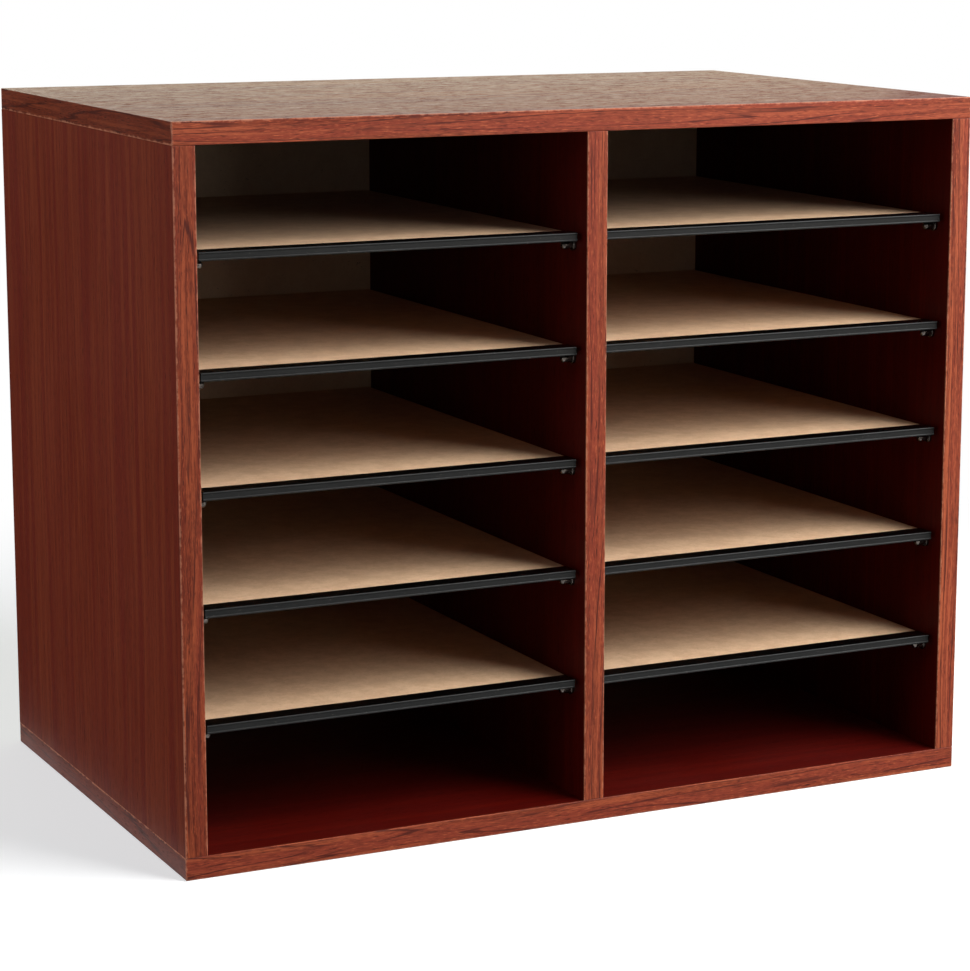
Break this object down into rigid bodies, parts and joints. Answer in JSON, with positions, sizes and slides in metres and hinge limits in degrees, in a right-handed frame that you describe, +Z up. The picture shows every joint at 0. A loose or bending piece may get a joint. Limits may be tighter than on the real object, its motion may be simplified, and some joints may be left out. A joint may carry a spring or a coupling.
{
  "type": "literature organizer",
  "caption": "Open-front wood-grain literature organizer with two columns of lift-out hardboard shelves on pegs.",
  "frame": {"origin": "on the floor under the middle of the cabinet", "axes": "+X along the width to the right as seen from the front, +Y to the back, +Z up; the open front faces -Y"},
  "size_m": [0.495, 0.307, 0.408],
  "materials": {
    "laminate_panel": "satin wood-grain laminate on particle board",
    "edge_band": "satin wood-grain edge band",
    "hardboard": "smooth raw hardboard",
    "black_moulding": "gloss black extruded plastic",
    "peg_metal": "bright nickel plate",
    "staple_wire": "galvanized wire"
  },
  "bodies": {
    "cabinet": {"top_panel": "laminate_panel", "bottom_panel": "laminate_panel", "left_side_panel": "laminate_panel", "right_side_panel": "laminate_panel", "centre_divider": "laminate_panel", "back_panel": "hardboard", "back_staples": "staple_wire", "top_edge_band": "edge_band", "bottom_edge_band": "edge_band", "left_side_edge_band": "edge_band", "right_side_edge_band": "edge_band", "divider_edge_band": "edge_band", "top_left_end_band": "edge_band", "top_right_end_band": "edge_band", "bottom_left_end_band": "edge_band", "bottom_right_end_band": "edge_band", "left_side_pegs": "peg_metal", "divider_left_pegs": "peg_metal", "divider_right_pegs": "peg_metal", "right_side_pegs": "peg_metal"},
    "left_shelf_1": {"left_shelf_1_board": "hardboard", "left_shelf_1_moulding": "black_moulding"},
    "left_shelf_2": {"left_shelf_2_board": "hardboard", "left_shelf_2_moulding": "black_moulding"},
    "left_shelf_3": {"left_shelf_3_board": "hardboard", "left_shelf_3_moulding": "black_moulding"},
    "left_shelf_4": {"left_shelf_4_board": "hardboard", "left_shelf_4_moulding": "black_moulding"},
    "left_shelf_5": {"left_shelf_5_board": "hardboard", "left_shelf_5_moulding": "black_moulding"},
    "right_shelf_1": {"right_shelf_1_board": "hardboard", "right_shelf_1_moulding": "black_moulding"},
    "right_shelf_2": {"right_shelf_2_board": "hardboard", "right_shelf_2_moulding": "black_moulding"},
    "right_shelf_3": {"right_shelf_3_board": "hardboard", "right_shelf_3_moulding": "black_moulding"},
    "right_shelf_4": {"right_shelf_4_board": "hardboard", "right_shelf_4_moulding": "black_moulding"},
    "right_shelf_5": {"right_shelf_5_board": "hardboard", "right_shelf_5_moulding": "black_moulding"}
  },
  "joints": [
    {"name": "left_shelf_1_slide", "type": "slide", "parent": "cabinet", "child": "left_shelf_1", "axis": [0, -1, 0.0039], "range_m": [0, 0.305]},
    {"name": "left_shelf_2_slide", "type": "slide", "parent": "cabinet", "child": "left_shelf_2", "axis": [0, -1, 0.0039], "range_m": [0, 0.305]},
    {"name": "left_shelf_3_slide", "type": "slide", "parent": "cabinet", "child": "left_shelf_3", "axis": [0, -1, 0.0039], "range_m": [0, 0.305]},
    {"name": "left_shelf_4_slide", "type": "slide", "parent": "cabinet", "child": "left_shelf_4", "axis": [0, -1, 0.0039], "range_m": [0, 0.305]},
    {"name": "left_shelf_5_slide", "type": "slide", "parent": "cabinet", "child": "left_shelf_5", "axis": [0, -1, 0.0039], "range_m": [0, 0.305]},
    {"name": "right_shelf_1_slide", "type": "slide", "parent": "cabinet", "child": "right_shelf_1", "axis": [0, -1, 0.0039], "range_m": [0, 0.305]},
    {"name": "right_shelf_2_slide", "type": "slide", "parent": "cabinet", "child": "right_shelf_2", "axis": [0, -1, 0.0039], "range_m": [0, 0.305]},
    {"name": "right_shelf_3_slide", "type": "slide", "parent": "cabinet", "child": "right_shelf_3", "axis": [0, -1, 0.0039], "range_m": [0, 0.305]},
    {"name": "right_shelf_4_slide", "type": "slide", "parent": "cabinet", "child": "right_shelf_4", "axis": [0, -1, 0.0039], "range_m": [0, 0.305]},
    {"name": "right_shelf_5_slide", "type": "slide", "parent": "cabinet", "child": "right_shelf_5", "axis": [0, -1, 0.0039], "range_m": [0, 0.305]}
  ]
}
